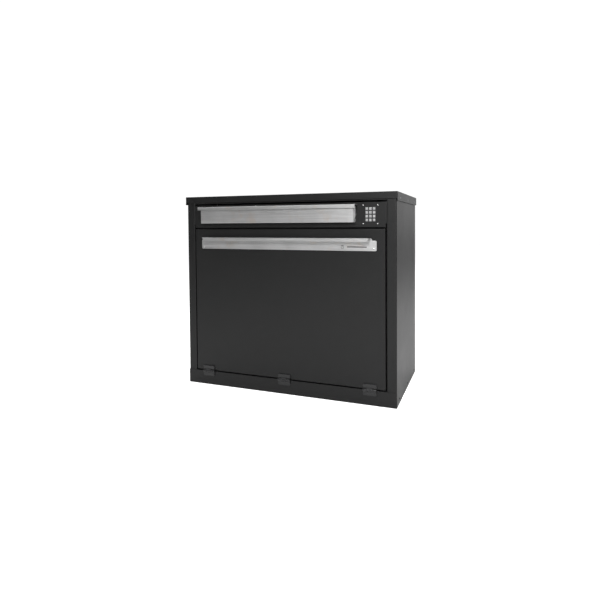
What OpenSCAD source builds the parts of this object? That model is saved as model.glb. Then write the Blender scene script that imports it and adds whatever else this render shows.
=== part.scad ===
// Parcel locker: a folded steel cabinet with a drop-down parcel door, a hopper mail flap and a keypad lock.
// Millimetres. The origin is the centre of the base, +Z is up and the front faces -Y.

/* [Cabinet] */
// Width over the side panels
body_w = 1000; // [850:1:1200]
// Depth from the stiles to the rear flanges
body_d = 465; // [380:1:600]
// Height to the underside of the top cap
body_h = 874; // [760:1:1100]
// Thickness of the cabinet's sheet steel
sheet = 2; // [1.5:0.1:2.5]
// Width of each front stile
stile_w = 40; // [30:1:60]
// Depth of the jamb behind each stile
jamb_d = 25; // [22:1:40]
// Width of the land that the door seal closes on
stop_land = 22; // [16:1:30]
// Depth of the stiffening return behind the land
stop_return = 30; // [24:1:45]
// Width of the rear and top flanges of the side panels
side_flange = 30; // [20:1:40]
// Height of the header rail above the fascia
header_h = 32; // [30:1:45]
// Hole spacing of the wall fixings, across
wall_hole_x = 600; // [300:10:700]
// Hole spacing of the wall fixings, up
wall_hole_z = 500; // [300:10:600]
// Radius of the wall fixing holes
wall_hole_r = 5.5; // [4:0.5:7]

/* [Top cap] */
// Overhang of the cap past each side
cap_side_over = 5; // [5:0.5:12]
// Overhang of the cap past the stiles
cap_front_over = 6; // [5:0.5:14]
// Depth of the cap's skirt, top sheet included
cap_skirt = 28; // [20:1:32]
// Height of the cap's skirts at the sides
cap_side_skirt = 37; // [30:1:44]
// Height of the folded hem inside the skirt
cap_hem = 16; // [10:1:16]
// Distance from the stile face to the first cap rivet
cap_rivet_inset = 52; // [40:1:80]
// Distance from the last cap rivet to the rear
cap_rivet_rear = 63; // [40:1:80]
// Radius of a rivet shank
rivet_r = 1.6; // [1.2:0.1:2.5]

/* [Base] */
// Height of the plinth
plinth_h = 62.5; // [56:0.5:90]
// Height of the floor tray's upturned flanges
tray_flange = 40; // [30:1:42]
// Distance from the stile face to the first base screw
base_screw_inset = 54; // [40:1:80]
// Distance from the last base screw to the rear
base_screw_rear = 45; // [40:1:80]
// Height of the base screws
base_screw_z = 21; // [12:1:28]
// Hole spacing of the ground anchors, across
anchor_x = 800; // [400:10:840]
// Hole spacing of the ground anchors, front to back
anchor_y = 300; // [200:10:340]
// Radius of the ground anchor holes
anchor_r = 6.5; // [5:0.5:8]

/* [Fascia] */
// Height of the fascia panel
fascia_h = 103; // [98:1:130]
// Gap between the fascia and the header rail
fascia_gap = 6.5; // [3:0.5:10]
// Depth of the fascia's side and top returns
fascia_return = 15; // [10:1:18]
// Height of the relief notch at each lower corner of the fascia
notch_h = 15; // [8:1:18]
// Width of that notch
notch_w = 5; // [3:1:8]

/* [Door] */
// Gap down each side of the door
door_gap_side = 6; // [3:0.5:8]
// Gap above the door
door_gap_top = 6.5; // [4:0.5:9]
// Gap below the door
door_gap_bottom = 5.5; // [4:0.5:8]
// Thickness of the door
door_t = 20; // [16:1:22]
// Thickness of the door's inner pan
pan_t = 1.2; // [1:0.1:2]
// Width of the seal strip
seal_w = 12; // [8:1:14]
// Play left between the closed seal and its land
seal_play = 0.3; // [0.2:0.1:1]

/* [Handle] */
// Distance from each end of the handle plate to the door's edge
handle_inset = 36; // [20:1:80]
// Height of the handle plate at its ends
handle_h = 42.5; // [36:0.5:60]
// Distance from the top of the door to the plate's end corners
handle_drop = 48; // [40:1:90]
// Rise of the plate between its shoulders
handle_rise = 10; // [6:1:16]
// Distance from the plate's end to its shoulder
handle_shoulder = 24; // [20:1:40]
// Reach of the pull in front of the door
handle_reach = 35; // [28:1:45]
// Height of the pull's lip
handle_lip = 14.5; // [12:0.5:18]
// Length that each end of the lip is cut back by at its free edge
handle_mitre = 8.5; // [0:0.5:14]

/* [Hinges] */
// Number of hinges across the sill
hinge_count = 3; // [2:1:4]
// Distance from the outer hinge centres to the cabinet's sides
hinge_inset = 112; // [90:1:160]
// Width of a hinge
hinge_w = 58; // [44:1:70]
// Height of a hinge, both leaves
hinge_h = 48; // [44:1:60]
// Thickness of a hinge leaf
leaf_t = 4.5; // [3:0.5:5]
// Radius of the hinge knuckles
knuckle_r = 5.5; // [5:0.5:7]
// Radius of the hinge pin
hinge_pin_r = 2.5; // [2:0.1:3]
// Width of the middle knuckle
middle_knuckle = 24; // [16:1:28]

/* [Stays] */
// Radius of the stay's slot about the hinge line
stay_radius = 150; // [120:1:160]
// Width of the stay's arc
stay_band = 24; // [20:1:30]
// Thickness of the stay plate
stay_t = 3; // [2:0.5:4]
// Radius of the stud in the slot
stay_stud_r = 5; // [4:0.5:6]
// Angle of the stud above the level through the hinge
stay_stud_angle = 75; // [72:1:76]
// Angle that the door opens
door_swing = 90; // [80:1:90]

/* [Lock] */
// Width of the lock case
lock_w = 60; // [50:1:70]
// Depth of the lock case
lock_d = 38; // [36:1:48]
// Height of the lock case
lock_h = 76; // [72:1:90]
// Radius of the bolt
bolt_r = 5; // [4:0.5:6]
// Travel of the bolt
bolt_travel = 14.5; // [14:0.5:15]
// Width of the striker's tongue
tongue_w = 24; // [20:1:26]

/* [Mail flap] */
// Distance from the left stile to the flap
flap_left_inset = 57; // [30:1:80]
// Distance from the flap to the right stile
flap_right_inset = 132; // [125:1:180]
// Height of the flap below its lip rail
flap_h = 71; // [70:0.5:78]
// Height of the flap's lower edge above the fascia's lower edge
flap_rise = 20; // [18:0.5:22]
// Projection of the flap in front of the stiles
flap_proud = 30; // [26:1:36]
// Reach of the lip rail past the flap's face
flap_lip_reach = 12; // [8:1:16]
// Height of the lip rail
flap_lip_h = 14; // [12:1:22]
// Overhang of the lip rail at each end of the flap
flap_lip_over = 9; // [4:1:14]
// Radius of the flap's rod
flap_rod_r = 3; // [2.5:0.1:3.5]
// Angle that the flap opens
flap_swing = 35; // [25:1:35]

/* [Keypad] */
// Distance from the right stile to the keypad's middle
keypad_inset = 68; // [66:1:72]
// Distance between neighbouring keys
key_pitch = 15.5; // [14.5:0.1:16]
// Side of a square key
key_side = 9; // [9:0.1:11]
// Travel of a key
key_travel = 1.2; // [0.8:0.1:1.4]
// Screw spacing of the keypad, across
keypad_screw_x = 61; // [60:0.5:64]
// Screw spacing of the keypad, up
keypad_screw_z = 76; // [75:0.5:78]

/* [Electronics] */
// Length of the control box, front to back
control_l = 110; // [100:1:140]
// Height of the control box
control_h = 70; // [66:1:74]
// Depth of the control box off the side panel
control_d = 30; // [26:1:34]
// Radius of a battery cell
cell_r = 7.2; // [5:0.1:7.2]
// Radius of the two leads
lead_r = 2.5; // [1.5:0.1:3]

/* [Hidden] */
$fn = 48;

BLACK = "#2c2c2e";
SATIN = "#3a3a3c";
STEEL = "#b4b3b0";
ZINC = "#8f9194";
RUBBER = "#1b1b1c";
PLASTIC = "#26282b";
BOARD = "#2f6b45";
touch = 0.02;          // radial play of a pin that is pressed in
running = 0.05;        // radial play of a pin that turns or slides
part_gap = 0.3;        // play between two pieces that move past each other

// Cabinet planes
half_w = body_w / 2;
front_y = -body_d / 2;
rear_y = body_d / 2;
face_y = front_y - sheet;                    // face of the plinth and of the door
opening_x = half_w - stile_w;
stop_y = front_y + jamb_d - sheet;           // face of the land that the door closes on
clear_x = opening_x - stop_land;
header_z = body_h - header_h;
fascia_top = header_z - fascia_gap;
fascia_bottom = fascia_top - fascia_h;

// Door planes
door_x = opening_x - door_gap_side;
door_top = fascia_bottom - door_gap_top;
door_bottom = plinth_h + door_gap_bottom;
door_back_y = face_y + door_t;
land = 20;                                   // overlap of the door on the mullion and the sill
mullion_bottom = door_top - land;
sill_top = door_bottom + land;
mullion_h = 51;
mullion_top = mullion_bottom + mullion_h;
mullion_top_d = 24.5;
seal_margin = 4;

// Fasteners along the cap and the base
side_rows = 3;
cap_rivet_pitch = (body_d - cap_rivet_inset - cap_rivet_rear) / (side_rows - 1);
cap_side_z = body_h + sheet - cap_side_skirt;
cap_rivet_z = cap_side_z + cap_hem - 4;
base_screw_pitch = (body_d - base_screw_inset - base_screw_rear) / (side_rows - 1);
rivet_head_r = 3;
rivet_head_h = 1.2;
rivet_tail_r = 2.6;
rivet_tail_h = 2;
back_rivet_rows = 4;
back_rivet_end = 90;                         // from the first and last back rivets to the panel's ends
screw_r = 2;
screw_head_r = 3.5;
screw_head_h = 2;
large_head_r = 4;
base_screw_end = 6;                          // length of a base screw past the tray's flange

// Hinge line
hinge_y = face_y - knuckle_r;
hinge_z = plinth_h + door_gap_bottom / 2;
leaf_gap = 1.25;
leaf_near = knuckle_r + leaf_gap;            // near edge of each leaf plate, measured from the hinge line
leaf_stud_x = 18;
leaf_stud_r = 3;
leaf_mid = (leaf_near + hinge_h / 2) / 2;
nut_r = 5.5;
nut_h = 4;
hinge_xs = [for (i = [0 : hinge_count - 1])
    -half_w + hinge_inset + i * (body_w - 2 * hinge_inset) / (hinge_count - 1)];

// Stays
stay_x = clear_x - 14;                       // outer face of the right-hand stay
slot_half = stay_stud_r + part_gap;
stay_collar_r = stay_stud_r + 3.5;
stay_margin = 5;                             // degrees of arc past the slot's lower end
stay_foot_w = 23;
foot_t = 3;                                  // thickness of the stays' feet and the striker's plate
stay_foot_margin = 6;

// Handle
handle_x = door_x - handle_inset;
handle_top = door_top - handle_drop;
handle_t = 2;
shoulder_slant = 7;
handle_rivet_inset = 12;
handle_rivet_r = 2;
handle_head_r = 3.2;
handle_head_h = 0.8;
handle_rivet_z = handle_top - handle_h + 7.5;

// Keypad
keypad_x = opening_x - keypad_inset;
keypad_z = fascia_bottom + 52.7;
bezel_w = 2 * key_pitch + key_side + 5;
bezel_h = 3 * key_pitch + key_side + 3.5;
bezel_proud = 1;
bezel_lip = 5;
bezel_lip_t = 1.5;
key_slack = 0.5;
key_proud = 2;
key_flange = 1.3;
key_flange_t = 1.2;
housing_margin_x = 5.5;
housing_margin_z = 4;
housing_d = 18;
housing_wall = 2.5;
boss_r = 3.5;
keypad_screw_r = 1.5;
keypad_screw_l = 12;                         // length of a keypad screw in its boss
keypad_head_r = 2.8;
keypad_head_h = 1.4;
board_t = 1.6;
switch_r = 3;
switch_h = 3.2;
bezel_back_y = front_y + sheet + bezel_lip_t;
key_back_y = bezel_back_y + part_gap + key_flange_t;
board_y = front_y + sheet + housing_d - housing_wall - board_t - 2;
key_names = ["1", "2", "3", "4", "5", "6", "7", "8", "9", "star", "0", "hash"];

// Flap
flap_l = -opening_x + flap_left_inset;
flap_r = opening_x - flap_right_inset;
flap_bottom = fascia_bottom + flap_rise;
flap_top = flap_bottom + flap_h;
flap_face_y = front_y - flap_proud;
flap_lip_x = [flap_l - flap_lip_over, flap_r + flap_lip_over];
flap_lip_y = flap_face_y - flap_lip_reach;
flap_lip_top = flap_top + sheet;
pivot_y = front_y - 10.5;
pivot_z = flap_bottom + 9.5;
cheek_r = flap_top - sheet - pivot_z - 1;
cheek_boss_r = 9.5;
cheek_rear_angle = 80 - flap_swing;
flap_top_clear = 3.5;
flap_bottom_return = 12;
slot_bottom = flap_bottom + 17.5;
slot_top = flap_top - 1;
slot_clear = 2;
bracket_w = 8;
bracket_r = 5.5;
bracket_count = 4;
bracket_inset = 60;
spring_l = 18;
spring_r = 5.2;
spring_wire = 0.8;
lip_screw_inset = 71;
lip_screw_pitch = 220.5;

// Lock
lock_x = keypad_x;
lock_front_y = stop_y + sheet + 2;
lock_top = mullion_bottom;
bolt_y = lock_front_y + 19;
tongue_t = 4;
tongue_z = lock_top - 55;                    // underside of the striker's tongue
mouth_bottom = tongue_z - 5;
mouth_top = tongue_z + 11;
mouth_d = 33;
mouth_play = 3;
guide_h = 8;
bolt_head_r = 8;
bolt_head_h = 10;
eye_r = bolt_r + 2;
lock_wall = 5;
lock_cover_t = 2;
mullion_bottom_d = lock_front_y + lock_d - stop_y;

// Electronics
control_y = front_y + 32.5;
control_z = fascia_bottom + 27.5;
control_wall = 2;
cell_l = 50;
cell_count = 4;
lead_y = stop_y + stop_return + 7.5;

// Primitive shapes, each placed by its limits
module block(x, y, z) {
    translate([x[0], y[0], z[0]]) cube([x[1] - x[0], y[1] - y[0], z[1] - z[0]]);
}
module rod_x(r, x, y, z) {
    translate([x[0], y, z]) rotate([0, 90, 0]) cylinder(h = x[1] - x[0], r = r);
}
module rod_y(r, x, y, z) {
    translate([x, y[0], z]) rotate([-90, 0, 0]) cylinder(h = y[1] - y[0], r = r);
}
module rod_z(r, x, y, z) {
    translate([x, y, z[0]]) cylinder(h = z[1] - z[0], r = r);
}
module both_sides() {
    children();
    mirror([1, 0, 0]) children();
}

// Rows of fasteners on the right-hand side
module cap_rivet_row(r, x) {
    for (i = [0 : side_rows - 1])
        rod_x(r, x, front_y + cap_rivet_inset + i * cap_rivet_pitch, cap_rivet_z);
}
module base_screw_row(r, x) {
    for (i = [0 : side_rows - 1])
        rod_x(r, x, front_y + base_screw_inset + i * base_screw_pitch, base_screw_z);
}
module back_rivet_row(r, y) {
    for (i = [0 : back_rivet_rows - 1])
        rod_y(r, half_w - side_flange / 2, y,
            back_rivet_end + i * (body_h - 2 * back_rivet_end) / (back_rivet_rows - 1));
}

// Folded side panel with its stile, jamb, seal land and rear and top flanges
module side_panel() {
    difference() {
        union() {
            block([half_w - sheet, half_w], [front_y, rear_y], [0, body_h]);
            block([opening_x, half_w], [front_y, front_y + sheet], [0, body_h]);
            block([opening_x, opening_x + sheet], [front_y, stop_y + sheet], [plinth_h, body_h - sheet]);
            block([clear_x, opening_x + sheet], [stop_y, stop_y + sheet], [plinth_h, body_h - sheet]);
            block([clear_x, clear_x + sheet], [stop_y, stop_y + stop_return], [plinth_h, body_h - sheet]);
            block([half_w - side_flange, half_w], [rear_y - sheet, rear_y], [0, body_h]);
            block([half_w - side_flange, half_w], [front_y, rear_y], [body_h - sheet, body_h]);
        }
        cap_rivet_row(rivet_r + touch, [half_w - sheet - 1, half_w + 1]);
        base_screw_row(screw_r + touch, [half_w - sheet - 1, half_w + 1]);
        back_rivet_row(rivet_r + touch, [rear_y - sheet - 1, rear_y + 1]);
    }
}
module right_side_panel() {
    color(BLACK) side_panel();
}
module left_side_panel() {
    color(BLACK) mirror([1, 0, 0]) side_panel();
}

// Flat rear sheet with the wall fixing holes
module back_panel() {
    color(BLACK) difference() {
        block([-half_w + sheet, half_w - sheet], [rear_y - 2 * sheet, rear_y - sheet], [0, body_h - sheet]);
        for (x = [-1, 1], z = [-1, 1])
            rod_y(wall_hole_r, x * wall_hole_x / 2, [rear_y - 3 * sheet, rear_y],
                body_h / 2 + z * wall_hole_z / 2);
        both_sides() back_rivet_row(rivet_r + touch, [rear_y - 3 * sheet, rear_y]);
    }
}
module back_rivets() {
    color(BLACK) both_sides() union() {
        back_rivet_row(rivet_head_r, [rear_y, rear_y + rivet_head_h]);
        back_rivet_row(rivet_r, [rear_y - 2 * sheet, rear_y]);
        back_rivet_row(rivet_tail_r, [rear_y - 2 * sheet - rivet_tail_h, rear_y - 2 * sheet]);
    }
}

// Upturned tray that is the compartment's floor
module floor_tray() {
    inner_x = half_w - sheet;
    tray_front = front_y + sheet;
    tray_rear = rear_y - 2 * sheet;
    color(BLACK) difference() {
        block([-inner_x, inner_x], [tray_front, tray_rear], [0, tray_flange]);
        block([-inner_x + sheet, inner_x - sheet], [tray_front + sheet, tray_rear - sheet],
            [sheet, tray_flange + 1]);
        for (x = [-1, 1], y = [-1, 1])
            rod_z(anchor_r, x * anchor_x / 2, y * anchor_y / 2, [-1, sheet + 1]);
        both_sides() base_screw_row(screw_r + touch, [half_w - 3 * sheet, half_w]);
    }
}
module base_screws() {
    color(BLACK) both_sides() union() {
        base_screw_row(large_head_r, [half_w, half_w + screw_head_h]);
        base_screw_row(screw_r, [half_w - 2 * sheet - base_screw_end, half_w]);
    }
}

// Plinth strip across the front, the sill folded back from it and the seal land at the sill's rear
module plinth() {
    color(BLACK) difference() {
        block([-half_w, half_w], [face_y, front_y], [0, plinth_h]);
        for (hx = hinge_xs, s = [-1, 1])
            rod_y(leaf_stud_r + touch, hx + s * leaf_stud_x, [face_y - 1, front_y + 1], hinge_z - leaf_mid);
    }
}
module door_sill() {
    color(BLACK) block([-opening_x, opening_x], [front_y, stop_y], [plinth_h - sheet, plinth_h]);
}
module sill_land() {
    color(BLACK) block([-clear_x, clear_x], [stop_y, stop_y + sheet], [plinth_h - sheet, sill_top]);
}

// Rail above the fascia
module header_rail() {
    rail_d = jamb_d - sheet - 1;
    color(BLACK) {
        block([-opening_x, opening_x], [front_y, front_y + sheet], [header_z, body_h]);
        block([-opening_x, opening_x], [front_y, front_y + rail_d], [header_z, header_z + sheet]);
        block([-opening_x, opening_x], [front_y, front_y + rail_d], [body_h - sheet, body_h]);
    }
}

// Cross rail behind the joint between the fascia and the door
module mullion() {
    color(BLACK) {
        block([-clear_x, clear_x], [stop_y, stop_y + sheet], [mullion_bottom, mullion_top]);
        block([-clear_x, clear_x], [stop_y, stop_y + mullion_top_d], [mullion_top - sheet, mullion_top]);
        block([-clear_x, clear_x], [stop_y, stop_y + mullion_bottom_d], [mullion_bottom, mullion_bottom + sheet]);
    }
}

// Top cap with a skirt on three sides and a hem folded inside it
module top_cap() {
    cap_x = half_w + cap_side_over;
    cap_y = front_y - cap_front_over;
    skirt_z = body_h + sheet - cap_skirt;
    color(BLACK) difference() {
        union() {
            block([-cap_x, cap_x], [cap_y, rear_y], [body_h, body_h + sheet]);
            block([-cap_x, cap_x], [cap_y, cap_y + sheet], [skirt_z, body_h + sheet]);
            block([-cap_x + sheet, cap_x - sheet], [cap_y, cap_y + 2 * sheet], [skirt_z, skirt_z + cap_hem]);
            both_sides() {
                block([cap_x - sheet, cap_x], [cap_y, rear_y], [cap_side_z, body_h + sheet]);
                block([cap_x - 2 * sheet, cap_x - sheet], [cap_y, rear_y], [cap_side_z, cap_side_z + cap_hem]);
            }
        }
        both_sides() cap_rivet_row(rivet_r + touch, [half_w, cap_x + 1]);
    }
}
module cap_rivets() {
    cap_x = half_w + cap_side_over;
    color(ZINC) both_sides() union() {
        cap_rivet_row(rivet_head_r, [cap_x, cap_x + rivet_head_h]);
        cap_rivet_row(rivet_r, [half_w - sheet, cap_x]);
        cap_rivet_row(rivet_tail_r, [half_w - sheet - rivet_tail_h, half_w - sheet]);
    }
}

// Fascia panel with the mail slot and the keypad's cut-out
module fascia_panel() {
    color(BLACK) difference() {
        union() {
            block([-opening_x, opening_x], [front_y, front_y + sheet], [fascia_bottom, fascia_top]);
            block([-opening_x, opening_x], [front_y, stop_y], [fascia_bottom, fascia_bottom + sheet]);
            block([-opening_x, opening_x], [front_y, front_y + fascia_return], [fascia_top - sheet, fascia_top]);
            both_sides() block([opening_x - sheet, opening_x], [front_y, front_y + fascia_return],
                [fascia_bottom, fascia_top]);
        }
        both_sides() block([opening_x - notch_w, opening_x + 1], [front_y - 1, stop_y + 1],
            [fascia_bottom - 1, fascia_bottom + notch_h]);
        block([flap_l - slot_clear, flap_r + slot_clear], [front_y - 1, front_y + sheet + 1],
            [slot_bottom, slot_top]);
        block([keypad_x - bezel_w / 2, keypad_x + bezel_w / 2], [front_y - 1, front_y + sheet + 1],
            [keypad_z - bezel_h / 2, keypad_z + bezel_h / 2]);
        keypad_screw_grid(keypad_screw_r + touch, [front_y - 1, front_y + sheet + 1]);
    }
}

// Bent plate that guides mail down behind the mullion
module mail_chute() {
    chute_y = stop_y + 2.5;
    chute_t = 1.5;
    bend_y = stop_y + mullion_top_d + 0.3;
    drop_y = bend_y + 70;
    drop_z = mullion_top - 58;
    color(BLACK) translate([flap_l + 10, 0, 0]) rotate([90, 0, 90])
        linear_extrude(height = flap_r - flap_l - 20)
            polygon([[chute_y, mullion_top], [bend_y, mullion_top], [drop_y, drop_z], [drop_y + 1, drop_z + 1],
                [bend_y + 0.6, mullion_top + chute_t], [chute_y, mullion_top + chute_t]]);
}

// Fixed rod, its brackets on the fascia and the flap's closing springs
module flap_rod() {
    color(STEEL) rod_x(flap_rod_r, [flap_l + 0.2, flap_r - 0.2], pivot_y, pivot_z);
}
function bracket_x(i) = flap_l + bracket_inset
    + i * (flap_r - flap_l - 2 * bracket_inset) / (bracket_count - 1);
module flap_brackets() {
    color(SATIN) for (i = [0 : bracket_count - 1]) {
        x = bracket_x(i);
        difference() {
            union() {
                rod_x(bracket_r, [x - bracket_w / 2, x + bracket_w / 2], pivot_y, pivot_z);
                block([x - bracket_w / 2, x + bracket_w / 2], [pivot_y, front_y],
                    [pivot_z - bracket_r, pivot_z + bracket_r]);
            }
            rod_x(flap_rod_r + touch, [x - bracket_w, x + bracket_w], pivot_y, pivot_z);
        }
    }
}
module flap_springs() {
    leg_z = pivot_z + spring_r - spring_wire;
    color(STEEL) for (i = [0, bracket_count - 1]) {
        side = i == 0 ? 1 : -1;
        x0 = bracket_x(i) + side * (bracket_w / 2 + part_gap);
        x1 = x0 + side * spring_l;
        difference() {
            union() {
                rod_x(spring_r, [min(x0, x1), max(x0, x1)], pivot_y, pivot_z);
                rod_y(spring_wire, x0 + side * 2, [flap_face_y + 3, pivot_y], leg_z);
                rod_y(spring_wire, x1 - side * 2, [pivot_y, front_y], leg_z);
            }
            rod_x(flap_rod_r + part_gap, [min(x0, x1) - 1, max(x0, x1) + 1], pivot_y, pivot_z);
        }
    }
}

// Keypad
module keypad_screw_grid(r, y) {
    for (x = [-1, 1], z = [-1, 1])
        rod_y(r, keypad_x + x * keypad_screw_x / 2, y, keypad_z + z * keypad_screw_z / 2);
}
function key_x(i) = keypad_x + (i % 3 - 1) * key_pitch;
function key_z(i) = keypad_z + (1.5 - floor(i / 3)) * key_pitch;
module key_square(i, side, y) {
    block([key_x(i) - side / 2, key_x(i) + side / 2], y, [key_z(i) - side / 2, key_z(i) + side / 2]);
}
module keypad_bezel() {
    lip_x = bezel_w / 2 + bezel_lip;
    lip_z = bezel_h / 2 + bezel_lip;
    color(ZINC) difference() {
        union() {
            block([keypad_x - bezel_w / 2, keypad_x + bezel_w / 2], [front_y - bezel_proud, bezel_back_y],
                [keypad_z - bezel_h / 2, keypad_z + bezel_h / 2]);
            block([keypad_x - lip_x, keypad_x + lip_x], [front_y + sheet, bezel_back_y],
                [keypad_z - lip_z, keypad_z + lip_z]);
        }
        for (i = [0 : 11])
            key_square(i, key_side + 2 * key_slack, [front_y - bezel_proud - 1, bezel_back_y + 1]);
    }
}
module keypad_housing() {
    case_x = keypad_screw_x / 2 + housing_margin_x;
    case_z = keypad_screw_z / 2 + housing_margin_z;
    case_y = front_y + sheet;
    color(PLASTIC) difference() {
        union() {
            difference() {
                block([keypad_x - case_x, keypad_x + case_x], [case_y, case_y + housing_d],
                    [keypad_z - case_z, keypad_z + case_z]);
                block([keypad_x - case_x + housing_wall, keypad_x + case_x - housing_wall],
                    [case_y - 1, case_y + housing_d - housing_wall],
                    [keypad_z - case_z + housing_wall, keypad_z + case_z - housing_wall]);
            }
            keypad_screw_grid(boss_r, [case_y, case_y + housing_d - housing_wall]);
            for (x = [-1, 1])
                rod_y(boss_r, keypad_x + x * key_pitch / 2, [board_y + board_t, case_y + housing_d - housing_wall],
                    keypad_z);
        }
        keypad_screw_grid(keypad_screw_r + touch, [case_y - 1, case_y + keypad_screw_l + 1]);
    }
}
module keypad_screws() {
    color(STEEL) union() {
        keypad_screw_grid(keypad_head_r, [front_y - keypad_head_h, front_y]);
        keypad_screw_grid(keypad_screw_r, [front_y, front_y + sheet + keypad_screw_l]);
    }
}
module keypad_board() {
    board_x = keypad_screw_x / 2 - boss_r - 1;
    board_z = keypad_screw_z / 2 - boss_r - 1;
    color(BOARD) block([keypad_x - board_x, keypad_x + board_x], [board_y, board_y + board_t],
        [keypad_z - board_z, keypad_z + board_z]);
}
module key_switches() {
    color(ZINC) for (i = [0 : 11])
        rod_y(switch_r, key_x(i), [board_y - switch_h, board_y], key_z(i));
}
module key(i) {
    stem_end = board_y - switch_h - key_travel - 0.2;
    color(STEEL) union() {
        key_square(i, key_side, [front_y - bezel_proud - key_proud, key_back_y]);
        key_square(i, key_side + 2 * key_flange, [bezel_back_y + part_gap, key_back_y]);
        rod_y(2, key_x(i), [key_back_y, stem_end], key_z(i));
    }
}

// Bolt lock under the mullion
module lock_case() {
    x0 = lock_x - lock_w / 2;
    x1 = lock_x + lock_w / 2;
    mouth_x = tongue_w / 2 + mouth_play;
    cavity = bolt_head_r + 2;
    color(SATIN) difference() {
        block([x0, x1], [lock_front_y, lock_front_y + lock_d - lock_cover_t], [lock_top - lock_h, lock_top]);
        block([lock_x - mouth_x, lock_x + mouth_x], [lock_front_y - 1, lock_front_y + mouth_d - 2],
            [mouth_bottom, mouth_top]);
        block([lock_x - cavity, lock_x + cavity], [bolt_y - cavity, lock_front_y + lock_d],
            [mouth_top + guide_h, lock_top - lock_wall]);
        rod_z(bolt_r + running, lock_x, bolt_y, [mouth_top - 1, mouth_top + guide_h + 1]);
    }
}
module lock_cover() {
    cover_y = lock_front_y + lock_d - lock_cover_t;
    color(SATIN) block([lock_x - lock_w / 2, lock_x + lock_w / 2], [cover_y, cover_y + lock_cover_t],
        [lock_top - lock_h, lock_top]);
}
module lock_bolt() {
    tip_z = mouth_top + 2;
    head_z = mouth_top + guide_h + bolt_travel + 1;
    color(STEEL) union() {
        rod_z(bolt_r, lock_x, bolt_y, [tip_z, head_z + 1]);
        rod_z(bolt_head_r, lock_x, bolt_y, [head_z, head_z + bolt_head_h]);
    }
}

// Control box on the right-hand side panel, its cells and its two leads
module control_shape(x, inset) {
    block(x, [control_y + inset, control_y + control_l - inset],
        [control_z + inset, control_z + control_h - inset]);
}
module control_box() {
    wall_x = half_w - sheet;
    color(PLASTIC) difference() {
        control_shape([wall_x - control_d + control_wall, wall_x], 0);
        control_shape([wall_x - control_d, wall_x - control_wall], control_wall);
    }
}
module control_box_cover() {
    cover_x = half_w - sheet - control_d;
    color(PLASTIC) control_shape([cover_x, cover_x + control_wall], 0);
}
module battery_cells() {
    cell_x = half_w - sheet - control_wall - cell_r - 0.2;
    first_z = control_z + control_wall + cell_r + 0.2;
    color(ZINC) for (i = [0 : cell_count - 1])
        rod_y(cell_r, cell_x, [control_y + control_wall + 2, control_y + control_wall + 2 + cell_l],
            first_z + i * (2 * cell_r + 0.3));
}
module control_leads() {
    drop_x = half_w - sheet - control_d / 2;
    plug_z = lock_top - 16;
    pad_x = keypad_x + 20;
    pad_z = keypad_z + 14;
    pad_y = front_y + sheet + housing_d;
    cover_x = half_w - sheet - control_d;
    color(RUBBER) {
        union() {
            rod_z(lead_r, drop_x, lead_y, [plug_z, control_z]);
            translate([drop_x, lead_y, plug_z]) sphere(r = lead_r);
            rod_x(lead_r, [lock_x + lock_w / 2, drop_x], lead_y, plug_z);
        }
        union() {
            rod_y(lead_r, pad_x, [pad_y, lead_y], pad_z);
            translate([pad_x, lead_y, pad_z]) sphere(r = lead_r);
            rod_x(lead_r, [pad_x, cover_x], lead_y, pad_z);
        }
    }
}

// Three-knuckle hinges on the line between the plinth and the door.
// side is 1 for the door's leaf, above the line, and -1 for the plinth's leaf, below it.
module leaf_plate(x, side) {
    z0 = hinge_z + side * leaf_near;
    z1 = hinge_z + side * hinge_h / 2;
    block([x - hinge_w / 2, x + hinge_w / 2], [face_y - leaf_t, face_y], [min(z0, z1), max(z0, z1)]);
    for (s = [-1, 1])
        rod_y(leaf_stud_r, x + s * leaf_stud_x, [face_y - 1, face_y + sheet + nut_h + 1],
            hinge_z + side * leaf_mid);
}
module knuckle(x, side) {
    z1 = hinge_z + side * leaf_near;
    rod_x(knuckle_r, x, hinge_y, hinge_z);
    block(x, [face_y - leaf_t, face_y - 0.2], [min(hinge_z, z1), max(hinge_z, z1)]);
}
module hinge_door_leaves() {
    color(SATIN) for (x = hinge_xs) difference() {
        union() {
            leaf_plate(x, 1);
            knuckle([x - middle_knuckle / 2, x + middle_knuckle / 2], 1);
        }
        rod_x(hinge_pin_r + running, [x - hinge_w, x + hinge_w], hinge_y, hinge_z);
    }
}
module hinge_base_leaves() {
    color(SATIN) for (x = hinge_xs) difference() {
        union() {
            leaf_plate(x, -1);
            knuckle([x - hinge_w / 2, x - middle_knuckle / 2 - part_gap], -1);
            knuckle([x + middle_knuckle / 2 + part_gap, x + hinge_w / 2], -1);
        }
        rod_x(hinge_pin_r + touch, [x - hinge_w, x + hinge_w], hinge_y, hinge_z);
    }
}
module hinge_pins() {
    color(STEEL) for (x = hinge_xs)
        rod_x(hinge_pin_r, [x - hinge_w / 2, x + hinge_w / 2], hinge_y, hinge_z);
}
module leaf_nuts(side) {
    color(ZINC) for (x = hinge_xs, s = [-1, 1])
        translate([x + s * leaf_stud_x, face_y + sheet, hinge_z + side * leaf_mid]) rotate([-90, 0, 0])
            difference() {
                cylinder(h = nut_h, r = nut_r, $fn = 6);
                translate([0, 0, -1]) cylinder(h = nut_h + 2, r = leaf_stud_r + touch);
            }
}
module base_hinge_nuts() {
    leaf_nuts(-1);
}
module door_hinge_nuts() {
    leaf_nuts(1);
}

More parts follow.
